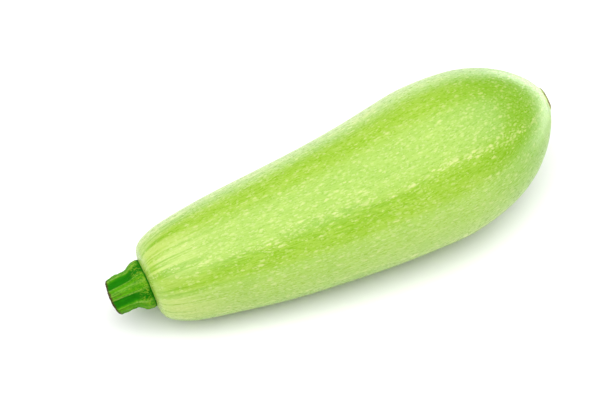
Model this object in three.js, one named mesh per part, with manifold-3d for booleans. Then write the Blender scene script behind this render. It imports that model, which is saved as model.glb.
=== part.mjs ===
// A courgette as picked: the fruit, lying on its belly, and the cut stalk it grew on.
// Millimetres. +X runs from the stalk to the blossom end, +Z is up, and the surface it lies on is Z = 0.

import * as THREE from 'three';
import { mergeVertices } from 'three/addons/utils/BufferGeometryUtils.js';
import Module from 'manifold-3d';

const wasm = await Module();
wasm.setup();

// Fruit: its length along its middle line, and its outline as [distance from the stalk end, radius].
const FRUIT_LENGTH = 165;
const FRUIT_OUTLINE = [
  [0, 9], [1, 13.2], [3, 15.6], [6.5, 17.6], [12, 19.5], [22, 21.4], [36, 23.4], [52, 25.2], [70, 26.8],
  [88, 28.4], [104, 29.9], [116, 30.6], [128, 29.5], [138.5, 27.1], [147, 23.3], [153.3, 18.9], [158, 14.3],
  [161.6, 9.5], [163.9, 4.8],
];
const FRUIT_ROWS = 38;
const FRUIT_SIDES = 50;

// Blossom end: the corky scar of the flower stands out a little from the skin and dips in its middle.
const SCAR_OUTLINE = [[164.6, 4.5], [FRUIT_LENGTH, 3.9], [164.8, 2.2], [164.7, 0]];

// Fruit: five soft ridges run from end to end. Their height is a share of the radius, by distance.
const RIDGES = 5;
const FRUIT_RIDGE_ANGLE = THREE.MathUtils.degToRad(68);
const FRUIT_RIDGES = [
  [0, 0], [3, 0.006], [14, 0.026], [60, 0.017], [120, 0.013], [155, 0.01], [FRUIT_LENGTH, 0],
];

// Middle line: it rises because the fruit thickens, bellies out to one side, and its far end turns up.
const RISE = 0.088;
const BELLY = 4.3;
const BELLY_POWER = 1.4;
const TURN_UP = 4;
const TURN_UP_FROM = 85;

// The belly is pressed flat by this much where it lies on the surface.
const BELLY_FLAT = 0.4;

// Stalk: its outline as [distance from the fruit, radius], with five ridges of its own.
const STALK_GAP = 0.3;
const STALK_OUTLINE = [
  [0, 8.6], [2.4, 8.8], [4.6, 8.1], [6.6, 6.9], [9.6, 6.85], [12.8, 6.5], [13.5, 6.1],
];
const STALK_CUT_DOME = [[14.2, 3.8], [14.5, 0]];
const STALK_RIDGE = 0.08;
const STALK_RIDGE_ANGLE = THREE.MathUtils.degToRad(38);
const STALK_SIDES = 40;

// The stalk was cut askew: the shaft beyond the waist runs on further on its upper, front side.
const STALK_WAIST = 7;
const STALK_CUT_TILT = 0.29;
const STALK_CUT_TOP = THREE.MathUtils.degToRad(118);

const SKIN_GREEN = 0xb4dd62;
const STALK_GREEN = 0x3f9416;

// The middle line's place across and up, and its slopes, at a distance from the stalk end.
function middleLine(along) {
  const phase = Math.PI * THREE.MathUtils.clamp(along / FRUIT_LENGTH, 0, 1);
  const swell = Math.pow(Math.sin(phase), BELLY_POWER);
  const swellSlope = BELLY_POWER * Math.pow(Math.sin(phase), BELLY_POWER - 1) * Math.cos(phase);
  const turn = Math.max(0, along - TURN_UP_FROM) / (FRUIT_LENGTH - TURN_UP_FROM);
  return {
    across: -BELLY * swell,
    up: RISE * along + TURN_UP * turn * turn,
    acrossSlope: -BELLY * swellSlope * Math.PI / FRUIT_LENGTH,
    upSlope: RISE + 2 * TURN_UP * turn / (FRUIT_LENGTH - TURN_UP_FROM),
  };
}

// A point of a section square to the middle line. Angle 0 is +Y and a quarter turn is up.
function onSection(along, radius, angle) {
  const line = middleLine(along);
  const sideways = Math.atan(line.acrossSlope);
  const upwards = Math.atan(line.upSlope);
  const y = radius * Math.cos(angle);
  const z = radius * Math.sin(angle);
  return new THREE.Vector3(
    along - y * Math.sin(sideways) - z * Math.sin(upwards),
    line.across + y * Math.cos(sideways),
    line.up + z * Math.cos(upwards),
  );
}

// The height of the fruit's ridges at a distance, in straight steps between the stated ones.
function fruitRidge(along) {
  const next = Math.max(1, FRUIT_RIDGES.findIndex(([at]) => at >= along));
  const [fromAt, fromHeight] = FRUIT_RIDGES[next - 1];
  const [toAt, toHeight] = FRUIT_RIDGES[next];
  return THREE.MathUtils.mapLinear(along, fromAt, toAt, fromHeight, toHeight);
}

// A lathe-turned form about +Y with its radius and place changed point by point.
function turned(outline, sides, shape) {
  const form = new THREE.LatheGeometry(outline, sides);
  form.deleteAttribute('normal');
  form.deleteAttribute('uv');
  const places = form.getAttribute('position');
  for (let i = 0; i < places.count; i += 1) {
    const radius = Math.hypot(places.getX(i), places.getZ(i));
    const angle = Math.atan2(places.getX(i), places.getZ(i));
    const at = shape(places.getY(i), radius, angle);
    places.setXYZ(i, at.x, at.y, at.z);
  }
  return mergeVertices(form, 1e-3);
}

function solidFrom(geometry) {
  const vertProperties = new Float32Array(geometry.getAttribute('position').array);
  const triVerts = new Uint32Array(geometry.getIndex().array);
  return new wasm.Manifold(new wasm.Mesh({ numProp: 3, vertProperties, triVerts }));
}

function geometryFrom(solid) {
  const mesh = solid.getMesh();
  const geometry = new THREE.BufferGeometry();
  geometry.setAttribute('position', new THREE.BufferAttribute(mesh.vertProperties, 3));
  geometry.setIndex(new THREE.BufferAttribute(mesh.triVerts, 1));
  geometry.computeVertexNormals();
  return geometry;
}

// The whole fruit before it is set down: a turned outline with ridges, bent along the middle line.
function fruitForm() {
  const toPoint = ([along, radius]) => new THREE.Vector2(radius, along);
  const skin = new THREE.SplineCurve(FRUIT_OUTLINE.map(toPoint)).getPoints(FRUIT_ROWS);
  const outline = [new THREE.Vector2(0, 0), ...skin, ...SCAR_OUTLINE.map(toPoint)];
  return turned(outline, FRUIT_SIDES, (along, radius, angle) => {
    const ridge = fruitRidge(along) * Math.cos(RIDGES * (angle - FRUIT_RIDGE_ANGLE));
    return onSection(along, radius * (1 + ridge), angle);
  });
}

// The fruit with the underside of its belly flat, where it lies.
function fruitGeometry(form, restHeight) {
  const box = form.boundingBox;
  const size = box.getSize(new THREE.Vector3()).multiplyScalar(2);
  const below = new THREE.BoxGeometry(size.x, size.y, size.z);
  below.deleteAttribute('normal');
  below.deleteAttribute('uv');
  const centre = box.getCenter(new THREE.Vector3());
  below.translate(centre.x, centre.y, restHeight - size.z / 2);
  return geometryFrom(solidFrom(form).subtract(solidFrom(mergeVertices(below, 1e-3))));
}

// The stalk stands on the fruit's stalk end, along the middle line, and flares where it joins.
function stalkGeometry() {
  const points = [[0, 0], ...STALK_OUTLINE, ...STALK_CUT_DOME];
  const outline = points.map(([along, radius]) => new THREE.Vector2(radius, -STALK_GAP - along)).reverse();
  return turned(outline, STALK_SIDES, (along, radius, angle) => {
    const ridge = STALK_RIDGE * Math.cos(RIDGES * (angle - STALK_RIDGE_ANGLE));
    const beyondWaist = THREE.MathUtils.smoothstep(-along, STALK_WAIST, STALK_CUT_DOME[0][0]);
    const askew = beyondWaist * STALK_CUT_TILT * radius * Math.cos(angle - STALK_CUT_TOP);
    return onSection(along - askew, radius * (1 + ridge), angle);
  });
}

function piece(name, geometry, color, roughness) {
  const mesh = new THREE.Mesh(geometry, new THREE.MeshStandardMaterial({ color, roughness, metalness: 0 }));
  mesh.name = name;
  return mesh;
}

const form = fruitForm();
form.computeBoundingBox();
const restHeight = form.boundingBox.min.z + BELLY_FLAT;

const courgette = new THREE.Group();
courgette.add(piece('fruit', fruitGeometry(form, restHeight), SKIN_GREEN, 0.45));
courgette.add(piece('stalk', stalkGeometry(), STALK_GREEN, 0.6));

// The origin is under the middle of the courgette, on the surface it lies on.
const extent = new THREE.Box3().setFromObject(courgette);
const middle = extent.getCenter(new THREE.Vector3());
courgette.position.set(-middle.x, -middle.y, -extent.min.z);

export default courgette;
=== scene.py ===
import math

import bmesh
import bpy
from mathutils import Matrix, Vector, noise


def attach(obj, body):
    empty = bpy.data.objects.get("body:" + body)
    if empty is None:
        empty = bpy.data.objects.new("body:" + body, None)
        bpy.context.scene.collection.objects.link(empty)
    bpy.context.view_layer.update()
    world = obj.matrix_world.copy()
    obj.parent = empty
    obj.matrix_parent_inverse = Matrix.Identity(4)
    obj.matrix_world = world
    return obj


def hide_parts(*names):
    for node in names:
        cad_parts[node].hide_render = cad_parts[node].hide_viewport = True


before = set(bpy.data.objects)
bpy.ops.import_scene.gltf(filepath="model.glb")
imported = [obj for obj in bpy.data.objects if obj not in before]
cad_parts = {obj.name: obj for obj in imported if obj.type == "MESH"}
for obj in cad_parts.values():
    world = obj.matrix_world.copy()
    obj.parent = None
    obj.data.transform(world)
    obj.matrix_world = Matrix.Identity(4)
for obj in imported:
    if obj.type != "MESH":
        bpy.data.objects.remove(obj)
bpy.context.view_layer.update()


# ---- Camera ---------------------------------------------------------------------------------------
# A long lens held a metre away looks down on the courgette from its stalk side.
# The row's axes are +X from stalk to blossom end and +Z up.

VIEW_AZIMUTH = math.radians(-24.8)
VIEW_ELEVATION = math.radians(60)
VIEW_DISTANCE = 1.0
VIEW_WIDTH = 0.2295
VIEW_AIM = Vector((-0.00816, 0.00673, 0.02393))

towards_camera = Vector((
    math.sin(VIEW_AZIMUTH) * math.cos(VIEW_ELEVATION),
    -math.cos(VIEW_AZIMUTH) * math.cos(VIEW_ELEVATION),
    math.sin(VIEW_ELEVATION),
))
lens = bpy.data.cameras.new("camera")
lens.lens = lens.sensor_width * VIEW_DISTANCE / VIEW_WIDTH
camera = bpy.data.objects.new("camera", lens)
camera.location = VIEW_AIM + towards_camera * VIEW_DISTANCE
camera.rotation_euler = towards_camera.to_track_quat("Z", "Y").to_euler()
bpy.context.scene.collection.objects.link(camera)
bpy.context.scene.camera = camera


# ---- Floor and light ------------------------------------------------------------------------------
# A matt white table in a dim room, under one wide soft light, with a low one far behind. Three low
# lamps that face away from the courgette brighten the table round it, which the waxy skin mirrors.

# Each light's name, its place, the point it faces and its size, in metres, and its watts.
SOFT_LIGHTS = [
    ("overhead_light", (-0.2, -0.12, 1.15), (-0.2, -0.12, 0), (3.0, 1.24), 42.5),
    ("table_light_before", (-0.02, -0.17, 0.16), (-0.02, -0.36, 0), (1.2, 0.1), 3.5),
    ("back_light", (-0.05, 1.3, 0.12), (-0.05, 0, 0.03), (2.6, 0.2), 3.6),
    ("table_light_behind", (-0.02, 0.27, 0.19), (-0.02, 0.43, 0), (1.2, 0.1), 3.6),
    ("table_light_beside", (0.36, 0.06, 0.3), (0.78, 0.10, 0), (0.2, 0.9), 3.6),
]
TABLE_SIZE = 8.0
TABLE_WHITE = (0.92, 0.92, 0.92, 1)
TABLE_ROUGHNESS = 0.9
ROOM_TINT = (0.9, 0.95, 1.0, 1)
ROOM_STRENGTH = 0.12


def placed(name, form):
    """An object in the scene made from a finished form."""
    mesh = bpy.data.meshes.new(name)
    form.to_mesh(mesh)
    form.free()
    piece = bpy.data.objects.new(name, mesh)
    bpy.context.scene.collection.objects.link(piece)
    return piece


def new_finish(name):
    """A new material, with its tree of nodes and its shader."""
    finish = bpy.data.materials.new(name)
    finish.use_nodes = True
    return finish, finish.node_tree, finish.node_tree.nodes["Principled BSDF"]


for name, place, faced_point, size, watts in SOFT_LIGHTS:
    lamp = bpy.data.lights.new(name, "AREA")
    lamp.shape = "RECTANGLE"
    lamp.size, lamp.size_y = size
    lamp.energy = watts
    light = bpy.data.objects.new(name, lamp)
    light.location = place
    light.rotation_euler = (Vector(place) - Vector(faced_point)).to_track_quat("Z", "Y").to_euler()
    light.visible_camera = False
    bpy.context.scene.collection.objects.link(light)

form = bmesh.new()
bmesh.ops.create_grid(form, x_segments=1, y_segments=1, size=TABLE_SIZE / 2)
table = placed("table", form)
table_finish, _, table_shader = new_finish("matt_white_table")
table_shader.inputs["Base Color"].default_value = TABLE_WHITE
table_shader.inputs["Roughness"].default_value = TABLE_ROUGHNESS
table_shader.inputs["Specular IOR Level"].default_value = 0.0
table.data.materials.append(table_finish)

room = bpy.data.worlds.new("room")
room.use_nodes = True
room.node_tree.nodes["Background"].inputs["Color"].default_value = ROOM_TINT
room.node_tree.nodes["Background"].inputs["Strength"].default_value = ROOM_STRENGTH
bpy.context.scene.world = room
bpy.context.scene.view_settings.view_transform = "Standard"


# ---- The fruit ------------------------------------------------------------------------------------
# The fruit grew in one piece: a club with five soft ridges, lying on a pressed strip of its belly, and
# a corky scar on its nose where the flower dropped off. Its thin waxy skin is banded, streaked and
# flecked along the way it grew. Sizes here are millimetres, as a grower would measure them.

MM = 0.001
FRUIT_LENGTH = 165

# The outlines are distances from the stalk end and radii.
FRUIT_OUTLINE = [
    (0, 9), (1, 13.2), (3, 15.6), (6.5, 17.6), (12, 19.5), (22, 21.4), (36, 23.4), (52, 25.2), (70, 26.8),
    (88, 28.4), (104, 29.9), (116, 30.6), (128, 29.5), (138.5, 27.1), (147, 23.3), (153.3, 18.9),
    (158, 14.3), (161.6, 9.5), (163.9, 4.8),
]
SCAR_OUTLINE = [
    (163.9, 4.8), (164.15, 4.72), (164.4, 4.55), (164.55, 4.15), (164.5, 3.5), (164.35, 2.6), (164.2, 1.3),
    (164.15, 0),
]
FRUIT_ROWS = 240
SCAR_ROWS = 36
FRUIT_SIDES = 200

# The middle line rises as the fruit thickens, bellies out to one side and turns up at the nose.
RISE = 0.088
BELLY = 4.3
BELLY_POWER = 1.4
TURN_UP = 4
TURN_UP_FROM = 85
MIDDLE_LINE_START = Vector((-0.074822, 0.002826, 0.020377))

# A ridge's height is a share of the radius, by distance. The bands of colour follow the ridges, but
# they sway a little on the way and twist towards the nose.
RIDGES = 5
FRUIT_RIDGE_ANGLE = math.radians(68)
FRUIT_RIDGES = [(0, 0), (3, 0.006), (14, 0.026), (60, 0.017), (120, 0.013), (155, 0.01), (FRUIT_LENGTH, 0)]
BAND_SWAY = 0.9
BAND_SWAY_LENGTH = 22
BAND_SWAYS_ROUND = 3
BAND_TWIST = math.radians(9)
BAND_TWIST_FROM = 105
BAND_TWIST_TO = 160

# Growth left the form a little uneven, mostly inwards of its outline, and the scar rough.
GROWTH_LUMPS = 0.22
GROWTH_LUMP_LENGTH = 26
GROWTH_LUMPS_FADE_UNDER = 12
GROWTH_RADIUS = 30
SCAR_RADIUS = 4.6
SCAR_ROUGHNESS = 0.22
SCAR_GRAIN = 1.3
AWAY_FROM_SCAR = 100.0


def smooth_outline(points, steps):
    """Points on a smooth curve through the given ones."""
    last = len(points) - 1
    found = []
    for step in range(steps + 1):
        at = last * step / steps
        i = min(int(at), last - 1)
        t = at - i
        p0, p1, p2, p3 = (Vector(points[max(0, min(last, k))]) for k in range(i - 1, i + 3))
        v1, v2 = (p2 - p0) / 2, (p3 - p1) / 2
        found.append(
            (2 * p1 - 2 * p2 + v1 + v2) * t**3 + (3 * p2 - 3 * p1 - 2 * v1 - v2) * t**2 + v1 * t + p1
        )
    return found


def part_way(value, low, high):
    """How far a value has come from one number to another, from 0 to 1."""
    return max(0.0, min(1.0, (value - low) / (high - low)))


def stepped(table_of_values, at):
    """A value in straight steps between those stated."""
    for (low, from_value), (high, to_value) in zip(table_of_values, table_of_values[1:]):
        if at <= high:
            return from_value + (to_value - from_value) * part_way(at, low, high)
    return table_of_values[-1][1]


def on_section(along, radius, angle):
    """A point of a section square to the middle line, in metres. Angle 0 is +Y and a quarter turn is up."""
    phase = math.pi * part_way(along, 0, FRUIT_LENGTH)
    turn = max(0, along - TURN_UP_FROM) / (FRUIT_LENGTH - TURN_UP_FROM)
    swell_slope = BELLY_POWER * abs(math.sin(phase)) ** (BELLY_POWER - 1) * math.cos(phase)
    across = -BELLY * abs(math.sin(phase)) ** BELLY_POWER
    up = RISE * along + TURN_UP * turn * turn
    sideways = math.atan(-BELLY * swell_slope * math.pi / FRUIT_LENGTH)
    upwards = math.atan(RISE + 2 * TURN_UP * turn / (FRUIT_LENGTH - TURN_UP_FROM))
    y, z = radius * math.cos(angle), radius * math.sin(angle)
    return MIDDLE_LINE_START + MM * Vector((
        along - y * math.sin(sideways) - z * math.sin(upwards),
        across + y * math.cos(sideways),
        up + z * math.cos(upwards),
    ))


def turned_form(outline, sides):
    """A closed form turned about X from an outline, with each point's run along the outline kept."""
    form = bmesh.new()
    run_layer = form.verts.layers.float.new("run")
    run = 0.0
    line = []
    for i, (along, radius) in enumerate(outline):
        if i:
            run += math.dist(outline[i - 1], outline[i])
        point = form.verts.new((along, max(radius, 0.0), 0))
        point[run_layer] = run
        line.append(point)
    edges = [form.edges.new(pair) for pair in zip(line, line[1:])]
    bmesh.ops.spin(
        form, geom=line + edges, axis=(1, 0, 0), cent=(0, 0, 0), angle=math.tau, steps=sides, use_merge=True
    )
    bmesh.ops.remove_doubles(form, verts=form.verts, dist=1e-4)
    bmesh.ops.recalc_face_normals(form, faces=form.faces)
    return form, run_layer


# For the material, each point keeps its place round and along the skin, its place before the form was
# bent, how it lies to the nearest ridge, and its distance from the middle of the scar.
outline = [Vector((0, 0))] + smooth_outline(FRUIT_OUTLINE, FRUIT_ROWS)
outline += smooth_outline(SCAR_OUTLINE, SCAR_ROWS)[1:]
form, run_layer = turned_form([tuple(point) for point in outline], FRUIT_SIDES)
grown_layer = form.verts.layers.float_vector.new("grown")
straight_layer = form.verts.layers.float_vector.new("straight")
ridge_layer = form.verts.layers.float_vector.new("ridge")
scar_layer = form.verts.layers.float.new("scar")
for v in form.verts:
    along, radius, angle = v.co.x, math.hypot(v.co.y, v.co.z), math.atan2(v.co.z, v.co.y)
    run = v[run_layer]
    grown = Vector((GROWTH_RADIUS * math.cos(angle), GROWTH_RADIUS * math.sin(angle), run))
    round_band = (BAND_SWAYS_ROUND * math.cos(angle), BAND_SWAYS_ROUND * math.sin(angle))
    sway = BAND_SWAY * noise.noise(Vector((*round_band, run / BAND_SWAY_LENGTH)))
    twist = BAND_TWIST * part_way(run, BAND_TWIST_FROM, BAND_TWIST_TO)
    band_turn = RIDGES * (angle - FRUIT_RIDGE_ANGLE - twist) + sway
    at_nose = along > FRUIT_LENGTH / 2
    v[grown_layer] = grown
    v[straight_layer] = Vector(v.co)
    v[ridge_layer] = Vector((math.cos(band_turn), math.sin(band_turn), 0))
    v[scar_layer] = radius if at_nose else AWAY_FROM_SCAR
    if at_nose and radius < SCAR_RADIUS:
        along -= SCAR_ROUGHNESS * abs(noise.noise(Vector((v.co.y, v.co.z, 3.0)) * SCAR_GRAIN))
    lumps = GROWTH_LUMPS * min(1.0, radius / GROWTH_LUMPS_FADE_UNDER)
    lumps *= noise.noise(grown / GROWTH_LUMP_LENGTH) - 0.5
    ridge = stepped(FRUIT_RIDGES, along) * math.cos(RIDGES * (angle - FRUIT_RIDGE_ANGLE))
    v.co = on_section(along, radius * (1 + ridge) + lumps, angle)
    v.co.z = max(v.co.z, 0.0)
fruit = placed("courgette_fruit", form)
fruit.data.shade_smooth()

PALE_GREEN = (0.316, 0.478, 0.057, 1)
MID_GREEN = (0.262, 0.438, 0.031, 1)
DARK_GREEN = (0.182, 0.365, 0.009, 1)
FLECK_CREAM = (0.50, 0.57, 0.19, 1)
SHOULDER_YELLOW = (0.47, 0.56, 0.15, 1)
PALE_COLLAR_AND_PAINTED_LIGHT = (0.38, 0.58, 0.09, 1)
NOSE_GREEN = (0.160, 0.352, 0.008, 1)
CORK_BROWN = (0.17, 0.095, 0.05, 1)
CORK_PALE = (0.30, 0.23, 0.13, 1)

# Where a mark lies round each ridge: its shares of the ridge's own direction and of its flank's.
BAND_LEAN = (0.94, -0.35)
DASHES_LEAN = (0.60, -0.80)
ROW_LEAN = (-0.20, -0.98)
BAND_STRENGTH = 0.12
WEAVE_STRENGTH = 0.4
DASH_STRENGTH = 0.6

# Runs along the skin from the stalk, over which a mark comes or goes.
SHOULDER_FADES = (52, 12)
COLLAR_LIGHT_FADES = (22, 12)
FLECKS_BEGIN = (18, 44)
DASHES_FADE = (95, 135)
NOSE_DEEPENS = (128, 170)

# Each set of flecks: its cells per millimetre along and across the fruit, and its dots' size in them.
# A share over 1 fills every cell. A waver, in cells per millimetre, throws the sets a little out of line.
LARGE_FLECKS = ((0.30, 0.80, 0.80), 0.38)
SMALL_FLECKS = ((0.60, 1.45, 1.45), 0.50)
ROW_FLECKS = ((0.34, 0.95, 0.95), 0.60)
ROW_SHARE = 1.15
WAVER_CELLS = 0.8

LIP_OUTSIDE_SCAR = 0.8
SKIN_ROUGHNESS = (0.24, 0.34)
SKIN_RELIEF = 0.00012
SKIN_IOR = 1.43
FLESH_GLOW = 0.1
FLESH_GLOW_REACH = 0.002
FLESH_GLOW_COLOUR = (0.6, 1.0, 0.25)


def add(tree, kind, inputs=None, **settings):
    """A shader node with its settings and its unlinked inputs."""
    node = tree.nodes.new(kind)
    for name, value in settings.items():
        setattr(node, name, value)
    for name, value in (inputs or {}).items():
        if isinstance(value, bpy.types.NodeSocket):
            tree.links.new(value, node.inputs[name])
        else:
            node.inputs[name].default_value = value
    return node


def sums(tree, operation, a, b=0.0, c=0.0, clamp=False):
    """A Math node's result."""
    return add(tree, "ShaderNodeMath", {0: a, 1: b, 2: c}, operation=operation, use_clamp=clamp).outputs[0]


def times(tree, a, b):
    """Two values multiplied."""
    return sums(tree, "MULTIPLY", a, b)


def plus(tree, a, b):
    """Two values added."""
    return sums(tree, "ADD", a, b)


def between(tree, value, low, high, to_low=0.0, to_high=1.0, eased=True):
    """A value carried from one range to another, held at its ends."""
    settings = {"interpolation_type": "SMOOTHSTEP" if eased else "LINEAR"}
    numbers = {"Value": value, "From Min": low, "From Max": high, "To Min": to_low, "To Max": to_high}
    return add(tree, "ShaderNodeMapRange", numbers, **settings).outputs["Result"]


def blended(tree, share, first, second):
    """Two colours mixed by a share of the second."""
    node = tree.nodes.new("ShaderNodeMix")
    node.data_type = "RGBA"
    for socket, value in ((node.inputs[0], share), (node.inputs[6], first), (node.inputs[7], second)):
        if isinstance(value, bpy.types.NodeSocket):
            tree.links.new(value, socket)
        else:
            socket.default_value = value
    return node.outputs[2]


def kept(tree, name, output="Fac"):
    """What the mesh keeps at each point under a name."""
    return add(tree, "ShaderNodeAttribute", attribute_name=name).outputs[output]


def noise_along(tree, place, across, along, detail=2.0, rough=0.5, offset=0.0):
    """Noise stretched along the fruit: cells per millimetre across and along it."""
    scaled = add(tree, "ShaderNodeMapping", {"Vector": place, "Scale": (across, across, along)})
    scaled.inputs["Location"].default_value = (offset, offset, offset)
    return add(
        tree, "ShaderNodeTexNoise",
        {"Vector": scaled.outputs[0], "Scale": 1.0, "Detail": detail, "Roughness": rough},
    ).outputs["Fac"]


def leaning(tree, ridge, flank, lean):
    """How nearly each point lies where a mark does, round its ridge: 1 where it does."""
    return sums(tree, "MULTIPLY_ADD", flank, lean[1], times(tree, ridge, lean[0]))


def flecks_group():
    """Pale flecks: dots in cells of the stated size, each with a size and strength of its own."""
    group = bpy.data.node_groups.new("flecks", "ShaderNodeTree")
    for name, kind in (("Place", "Vector"), ("Cells", "Vector"), ("Size", "Float"), ("Share", "Float")):
        group.interface.new_socket(name, in_out="INPUT", socket_type="NodeSocket" + kind)
    group.interface.new_socket("Mask", in_out="OUTPUT", socket_type="NodeSocketFloat")
    inside = add(group, "NodeGroupInput").outputs
    placing = {0: inside["Place"], 1: inside["Cells"]}
    scaled = add(group, "ShaderNodeVectorMath", placing, operation="MULTIPLY").outputs[0]
    scattered = {"Vector": scaled, "Scale": 1.0, "Randomness": 0.95}
    cells = add(group, "ShaderNodeTexVoronoi", scattered).outputs
    chance = add(group, "ShaderNodeSeparateColor", {0: cells["Color"]}).outputs

    # A share of the cells hold a dot, of its own size, soft at its edge, and of its own strength.
    held = between(group, sums(group, "SUBTRACT", inside["Share"], chance[0]), 0.0, 0.15)
    size = times(group, inside["Size"], plus(group, chance[1], 0.35))
    dot = between(group, sums(group, "DIVIDE", cells["Distance"], size), 1.0, 0.45)
    mask = times(group, times(group, dot, held), between(group, chance[2], 0.0, 1.0, 0.5, 0.9))
    group.links.new(mask, add(group, "NodeGroupOutput").inputs["Mask"])
    return group


flecks = flecks_group()


def fleck_mask(tree, place, cells, size, share):
    """One set of flecks, in a share of its cells."""
    return add(
        tree, "ShaderNodeGroup",
        {"Place": place, "Cells": cells, "Size": size, "Share": share}, node_tree=flecks,
    ).outputs["Mask"]


def courgette_skin():
    """Thin waxy skin over pale flesh, with its bands, streaks and flecks, and the corky scar."""
    finish, tree, shader = new_finish("courgette_skin")
    grown = kept(tree, "grown", "Vector")
    straight = kept(tree, "straight", "Vector")
    scar = kept(tree, "scar")
    ridge, flank, _ = add(tree, "ShaderNodeSeparateXYZ", {0: kept(tree, "ridge", "Vector")}).outputs
    run = add(tree, "ShaderNodeSeparateXYZ", {0: grown}).outputs["Z"]

    streaks = noise_along(tree, grown, across=0.75, along=0.03, detail=4.0, rough=0.6)
    broad = noise_along(tree, grown, across=0.13, along=0.025, detail=3.0, offset=7.0)
    weave = noise_along(tree, grown, across=1.9, along=0.50, detail=3.0, rough=0.6, offset=3.0)
    patches = noise_along(tree, grown, across=0.30, along=0.11, offset=19.0)

    # A darker band lies on each ridge, leaning to one side of it, and the streaks make it ragged.
    uneven = sums(tree, "MULTIPLY_ADD", plus(tree, broad, streaks), 1.5, -1.5)
    band = between(tree, plus(tree, leaning(tree, ridge, flank, BAND_LEAN), uneven), -0.2, 0.9)
    tone = sums(tree, "MULTIPLY_ADD", streaks, 1.2, sums(tree, "MULTIPLY_ADD", patches, 0.9, -0.6))
    green = blended(tree, between(tree, tone, 0.3, 0.7), MID_GREEN, PALE_GREEN)
    green = blended(tree, times(tree, band, BAND_STRENGTH), green, DARK_GREEN)
    green = blended(tree, between(tree, weave, 0.52, 0.36, 0.0, WEAVE_STRENGTH), green, DARK_GREEN)
    green = blended(tree, between(tree, weave, 0.52, 0.66, 0.0, WEAVE_STRENGTH), green, PALE_GREEN)

    # Short dark dashes edge each band on that side, and fade towards the nose.
    dashes = noise_along(tree, grown, across=1.4, along=0.26, offset=23.0)
    edge = sums(tree, "MULTIPLY_ADD", uneven, 0.55, leaning(tree, ridge, flank, DASHES_LEAN))
    dashed = between(tree, dashes, 0.42, 0.56, 0.0, DASH_STRENGTH)
    edge = times(tree, between(tree, edge, 0.55, 0.95), dashed)
    edge = times(tree, edge, between(tree, run, *DASHES_FADE, 1.0, 0.5))
    green = blended(tree, edge, green, DARK_GREEN)

    # The shoulder is paler and yellower, in fine lines, and the nose a deeper green.
    lines = noise_along(tree, grown, across=0.5, along=0.02, offset=31.0)
    shoulder = between(tree, run, *SHOULDER_FADES)
    yellowed = times(tree, shoulder, between(tree, lines, 0.45, 0.57, 0.1, 1.0))
    yellowed = times(tree, yellowed, between(tree, band, 0.0, 1.0, 0.85, 0.35))
    green = blended(tree, yellowed, green, SHOULDER_YELLOW)
    greened = times(tree, shoulder, between(tree, lines, 0.48, 0.38, 0.0, 0.8))
    green = blended(tree, greened, green, DARK_GREEN)
    # Beside the stalk the skin is paler and greener: partly its own pale collar, partly painted light that
    # offsets the stalk's shade.
    green = blended(tree, between(tree, run, *COLLAR_LIGHT_FADES, 0.0, 0.45), green, PALE_COLLAR_AND_PAINTED_LIGHT)
    nose = between(tree, run, *NOSE_DEEPENS, 0.0, 0.8)
    green = blended(tree, nose, green, NOSE_GREEN)

    # Pale flecks lie all over, fewer on the bands and the shoulder, in places a little out of line.
    beside = leaning(tree, ridge, flank, ROW_LEAN)
    crowded = times(tree, between(tree, beside, 0.90, 0.99), between(tree, patches, 0.3, 0.5))
    share = plus(tree, between(tree, band, 0.0, 1.0, 1.0, 0.8), times(tree, crowded, 0.5))
    share = times(tree, share, between(tree, run, *FLECKS_BEGIN, 0.35, 1.0))
    waver = {"Vector": straight, "Scale": WAVER_CELLS, "Detail": 1.0}
    wander = add(tree, "ShaderNodeTexNoise", waver).outputs["Color"]
    wandering = add(tree, "ShaderNodeVectorMath", {0: wander, 1: straight}, operation="ADD").outputs[0]
    large = fleck_mask(tree, wandering, *LARGE_FLECKS, share)
    small = fleck_mask(tree, wandering, *SMALL_FLECKS, share)
    fleck = sums(tree, "MAXIMUM", large, times(tree, small, 0.7))

    # They crowd in a row beside each line of dashes.
    row = fleck_mask(tree, wandering, *ROW_FLECKS, ROW_SHARE)
    row = times(tree, row, between(tree, beside, 0.965, 0.995))
    row = times(tree, row, between(tree, patches, 0.34, 0.48, 0.3, 1.0))
    fleck = sums(tree, "MAXIMUM", fleck, row)
    strength = sums(tree, "MULTIPLY_ADD", crowded, 0.30, between(tree, nose, 0.0, 1.0, 0.9, 0.65))
    green = blended(tree, times(tree, fleck, strength), green, FLECK_CREAM)

    # The scar is dry cork, torn at its edge, with a paler lip where the skin folds up against it.
    torn = noise_along(tree, grown, across=0.5, along=0.5, detail=3.0, rough=0.7, offset=5.0)
    scar_edge = plus(tree, scar, sums(tree, "MULTIPLY_ADD", torn, 1.6, -0.8))
    corky = between(tree, scar_edge, SCAR_RADIUS + 0.4, SCAR_RADIUS - 0.1)
    from_lip = sums(tree, "ABSOLUTE", sums(tree, "SUBTRACT", scar_edge, SCAR_RADIUS + LIP_OUTSIDE_SCAR))
    green = blended(tree, times(tree, between(tree, from_lip, 0.9, 0.2), 0.7), green, SHOULDER_YELLOW)
    cork = blended(tree, between(tree, torn, 0.35, 0.65), CORK_BROWN, CORK_PALE)
    tree.links.new(blended(tree, corky, green, cork), shader.inputs["Base Color"])

    # The wax is glossiest on the plain skin. Flecks and cork are duller, and both stand out a little.
    satin = between(tree, weave, 0.3, 0.7, *SKIN_ROUGHNESS, eased=False)
    satin = sums(tree, "MULTIPLY_ADD", fleck, 0.12, satin)
    tree.links.new(sums(tree, "MULTIPLY_ADD", corky, 0.45, satin, clamp=True), shader.inputs["Roughness"])
    relief = sums(tree, "MULTIPLY_ADD", fleck, 0.5, times(tree, streaks, 0.9))
    relief = sums(tree, "MULTIPLY_ADD", weave, 0.5, relief)
    relief = plus(tree, relief, times(tree, times(tree, corky, torn), 6.0))
    bump = add(tree, "ShaderNodeBump", {"Height": relief, "Distance": SKIN_RELIEF, "Strength": 0.6})
    tree.links.new(bump.outputs["Normal"], shader.inputs["Normal"])

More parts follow.
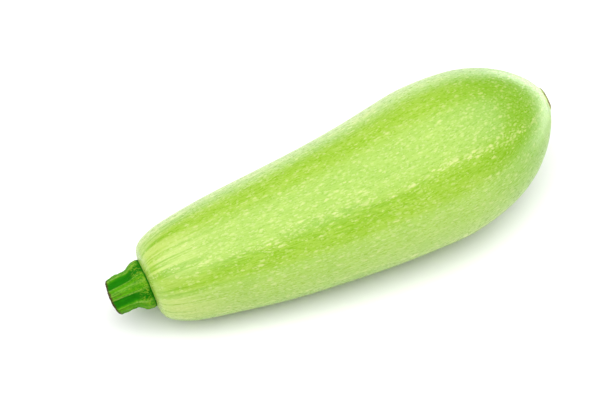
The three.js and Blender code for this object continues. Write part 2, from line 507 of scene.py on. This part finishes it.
    shader.inputs["IOR"].default_value = SKIN_IOR
    shader.inputs["Subsurface Weight"].default_value = FLESH_GLOW
    shader.inputs["Subsurface Radius"].default_value = FLESH_GLOW_COLOUR
    shader.inputs["Subsurface Scale"].default_value = FLESH_GLOW_REACH
    return finish


fruit.data.materials.append(courgette_skin())
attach(fruit, "root")
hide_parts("fruit")


# ---- The stalk ------------------------------------------------------------------------------------
# A short length of the stalk that the fruit grew on, cut askew. It has five flat-topped ribs with grooves
# between them, spreads into lobes where it holds the fruit, and has dried to brown round its cut end.

STALK_OUTLINE = [
    (0.7, 8.2), (0.2, 8.7), (-0.7, 9.0), (-2.3, 8.85), (-4.0, 8.2), (-5.5, 7.25), (-6.9, 6.8), (-9.9, 6.75),
    (-12.4, 6.5), (-13.2, 6.35), (-13.62, 6.05),
]
STALK_CUT = [(-13.62, 6.05), (-13.7, 5.6), (-13.85, 4.9), (-14.2, 3.4), (-14.4, 1.5), (-14.3, 0.0)]
STALK_ROWS = 110
CUT_ROWS = 30
STALK_SIDES = 200
STALK_RADIUS = 7
RIBS_FADE_UNDER = 4

# Its ribs match the fruit's ridges in number, wander a little and are creased down their middles.
STALK_RIDGE_ANGLE = math.radians(38)
STALK_RIB = 0.085
RIB_WANDER = 0.5
RIB_WANDER_CELLS = Vector((1 / 3, 1 / 3, 1 / 9))
CREASE_DEPTH = 0.35
CREASE_WIDTH = 0.5

# It spreads at its foot, with one larger lobe below, and the shaft beyond the waist was cut askew.
FOOT_FROM = -7
FOOT_TO = -2
FOOT_LOBE = 0.7
FOOT_LOBE_ANGLE = math.radians(195)
FOOT_LOBE_AT = -3.2
FOOT_LOBE_LENGTH = 2.6
STALK_WAIST = 7
STALK_CUT_AT = 14.2
STALK_CUT_TILT = 0.29
STALK_CUT_TOP = math.radians(118)

# It grew with long waves and with knobs of two sizes, and the knife left small notches. Each has its
# height, and its cells per millimetre across and along the stalk.
LONG_WAVES = 0.30
LONG_WAVE_CELLS = Vector((0.9, 0.9, 0.10))
LARGE_KNOBS = 0.22
LARGE_KNOB_CELLS = 0.55
SMALL_KNOBS = 0.10
SMALL_KNOB_CELLS = 1.6
KNIFE_NOTCHES = 0.22
KNIFE_NOTCH_CELLS = Vector((0.8, 0.8, 0))
KNIFE_FROM = 12.5
KNIFE_TO = 13.5

outline = [Vector((STALK_OUTLINE[0][0], 0))] + smooth_outline(STALK_OUTLINE, STALK_ROWS)
outline += smooth_outline(STALK_CUT, CUT_ROWS)[1:]
form, _ = turned_form([tuple(point) for point in outline], STALK_SIDES)
grown_layer = form.verts.layers.float_vector.new("grown")
rib_layer = form.verts.layers.float.new("rib")
end_layer = form.verts.layers.float.new("cut_end")
for v in form.verts:
    along, radius, angle = v.co.x, math.hypot(v.co.y, v.co.z), math.atan2(v.co.z, v.co.y)
    grown = Vector((STALK_RADIUS * math.cos(angle), STALK_RADIUS * math.sin(angle), along))
    wander = RIB_WANDER * noise.noise(grown * RIB_WANDER_CELLS)
    turn = RIDGES * (angle - STALK_RIDGE_ANGLE) + wander
    turn -= math.tau * round(turn / math.tau)
    rib = math.tanh(2.0 * math.cos(turn) + 0.4) - CREASE_DEPTH * math.exp(-((turn / CREASE_WIDTH) ** 2))
    v[grown_layer] = grown
    v[rib_layer] = rib
    v[end_layer] = -along
    body = min(1.0, radius / RIBS_FADE_UNDER)
    foot = part_way(along, FOOT_FROM, FOOT_TO)
    waves = LONG_WAVES * noise.noise(grown * LONG_WAVE_CELLS)
    knobs = LARGE_KNOBS * noise.noise(grown * LARGE_KNOB_CELLS)
    knobs += SMALL_KNOBS * noise.noise(grown * SMALL_KNOB_CELLS)
    lobe = FOOT_LOBE * max(0.0, math.cos(angle - FOOT_LOBE_ANGLE)) ** 3
    lobe *= math.exp(-(((along - FOOT_LOBE_AT) / FOOT_LOBE_LENGTH) ** 2))
    notch = KNIFE_NOTCHES * noise.noise(grown * KNIFE_NOTCH_CELLS)
    notch *= part_way(-along, KNIFE_FROM, KNIFE_TO)
    beyond = part_way(-along, STALK_WAIST, STALK_CUT_AT)
    beyond = beyond * beyond * (3 - 2 * beyond)
    askew = beyond * STALK_CUT_TILT * radius * math.cos(angle - STALK_CUT_TOP)
    radius *= 1 + STALK_RIB * (1 - 0.45 * foot) * rib * body
    radius += (waves * (1 - 0.5 * foot) + knobs + lobe) * body
    v.co = on_section(along - askew + notch, radius, angle)
stalk = placed("courgette_stalk", form)
stalk.data.shade_smooth()

DARK_RIND_AND_GROOVE_SHADE = (0.008, 0.150, 0.0003, 1)
RIB_GREEN = (0.072, 0.280, 0.001, 1)
RIB_EDGE_HIGHLIGHT = (0.210, 0.370, 0.060, 1)
SPECKLE_YELLOW = (0.20, 0.33, 0.02, 1)
DRIED_BROWN = (0.055, 0.035, 0.012, 1)
PITH = (0.42, 0.42, 0.20, 1)
PITH_DRY = (0.26, 0.21, 0.09, 1)

# Distances from the fruit, over which a mark comes or goes.
JOIN_DARKENS = (0.9, 0.2)
DAPPLES_FADE = (6.0, 2.5)
DRYING_BEGINS = (5.0, 12.5)
RIM_DRIES = (12.5, 13.4)
PITH_BEGINS = (13.8, 14.05)

# The speckles' cells per millimetre across and along the stalk, and their dots' size in them.
SPECKLES = ((0.9, 0.9, 0.7), 0.33)
SPECKLE_SHARE = 0.6
STALK_ROUGHNESS = (0.55, 0.7)
STALK_RELIEF = 0.0003
STALK_SHINE = 0.04


def stalk_green():
    """Tough green rind, darker in its grooves with painted shade, painted highlights along the ribs' edges,
    and a dried brown cut.
    """
    finish, tree, shader = new_finish("stalk_green")
    grown = kept(tree, "grown", "Vector")
    rib = kept(tree, "rib")
    end = kept(tree, "cut_end")

    streaks = noise_along(tree, grown, across=1.5, along=0.12, detail=4.0, rough=0.65)
    mottle = noise_along(tree, grown, across=1.1, along=0.7, detail=4.0, rough=0.65, offset=4.0)
    grain = noise_along(tree, grown, across=2.6, along=1.3, rough=0.6, offset=9.0)
    # The grooves are darker: the rind's deeper green with painted shade in them.
    height = plus(tree, rib, sums(tree, "MULTIPLY_ADD", streaks, 2.0, -1.0))
    green = blended(tree, between(tree, height, -0.8, 0.5), DARK_RIND_AND_GROOVE_SHADE, RIB_GREEN)
    # Pale lines along the ribs' edges are painted highlights.
    edge_highlight = between(tree, sums(tree, "ABSOLUTE", sums(tree, "SUBTRACT", rib, 0.45)), 0.5, 0.1)
    edge_highlight = times(tree, edge_highlight, between(tree, streaks, 0.36, 0.58))
    green = blended(tree, times(tree, edge_highlight, 0.7), green, RIB_EDGE_HIGHLIGHT)
    green = blended(tree, between(tree, grain, 0.50, 0.36, 0.0, 0.5), green, DARK_RIND_AND_GROOVE_SHADE)

    # The foot is dappled and the ribs are speckled with yellow, and dark blotches lie over both.
    dapple = between(tree, plus(tree, mottle, grain), 0.94, 1.16)
    dapple = times(tree, between(tree, end, *DAPPLES_FADE), dapple)
    green = blended(tree, times(tree, dapple, 0.7), green, SPECKLE_YELLOW)
    speckle = fleck_mask(tree, grown, *SPECKLES, SPECKLE_SHARE)
    speckle = times(tree, speckle, between(tree, rib, -0.6, 0.4))
    green = blended(tree, times(tree, speckle, 0.55), green, SPECKLE_YELLOW)
    green = blended(tree, times(tree, between(tree, mottle, 0.5, 0.34), 0.5), green, DARK_RIND_AND_GROOVE_SHADE)
    green = blended(tree, between(tree, end, *JOIN_DARKENS), green, DARK_RIND_AND_GROOVE_SHADE)

    # Towards the cut the ribs have begun to dry in brown streaks.
    drying = times(tree, between(tree, end, *DRYING_BEGINS), between(tree, streaks, 0.50, 0.36))
    drying = times(tree, drying, between(tree, rib, 0.2, 0.9))
    green = blended(tree, times(tree, drying, 0.75), green, DRIED_BROWN)

    # The cut has dried: brown round its rim, with paler pith inside.
    worn = plus(tree, end, sums(tree, "MULTIPLY_ADD", mottle, 1.6, -0.8))
    green = blended(tree, between(tree, worn, *RIM_DRIES), green, DRIED_BROWN)
    pith = blended(tree, between(tree, mottle, 0.4, 0.6), PITH, PITH_DRY)
    green = blended(tree, between(tree, worn, *PITH_BEGINS), green, pith)
    tree.links.new(green, shader.inputs["Base Color"])

    tree.links.new(between(tree, mottle, 0.3, 0.7, *STALK_ROUGHNESS), shader.inputs["Roughness"])
    relief = plus(tree, streaks, sums(tree, "MULTIPLY_ADD", speckle, 0.5, mottle))
    bump = add(tree, "ShaderNodeBump", {"Height": relief, "Distance": STALK_RELIEF, "Strength": 0.8})
    tree.links.new(bump.outputs["Normal"], shader.inputs["Normal"])
    shader.inputs["Specular IOR Level"].default_value = STALK_SHINE
    return finish


stalk.data.materials.append(stalk_green())
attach(stalk, "root")
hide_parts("stalk")
